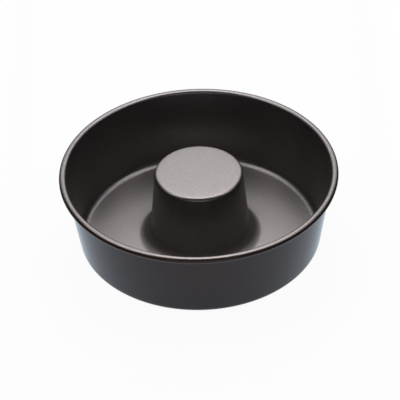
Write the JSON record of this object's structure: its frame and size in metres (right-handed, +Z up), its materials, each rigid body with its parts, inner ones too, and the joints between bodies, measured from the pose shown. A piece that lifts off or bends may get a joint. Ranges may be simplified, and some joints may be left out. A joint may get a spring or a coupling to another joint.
{
  "type": "savarin ring pan",
  "caption": "Round ring cake pan with a tapered wall, a rim rolled around a wire and a closed flat-topped centre tube, coated inside and out, for baking ring cakes.",
  "frame": {"origin": "centre of the pan on the surface it stands on", "axes": "+Z up along the pan's and the tube's axis; X and Y lie in the base and are alike, because the pan is round"},
  "size_m": [0.26, 0.26, 0.0765],
  "materials": {
    "sheet_steel": "bare drawn carbon steel, seen only at the sheet's tucked-in edge",
    "wire_steel": "bright drawn wire, hidden in the rim",
    "inner_non_stick": "satin dark warm grey non-stick film with a fine speckle",
    "outer_non_stick": "smooth semi-gloss dark grey non-stick film"
  },
  "bodies": {
    "root": {"pan_body": "sheet_steel", "rim_wire": "wire_steel", "inner_coating": "inner_non_stick", "outer_coating": "outer_non_stick", "rim_coating": "outer_non_stick"}
  },
  "joints": []
}
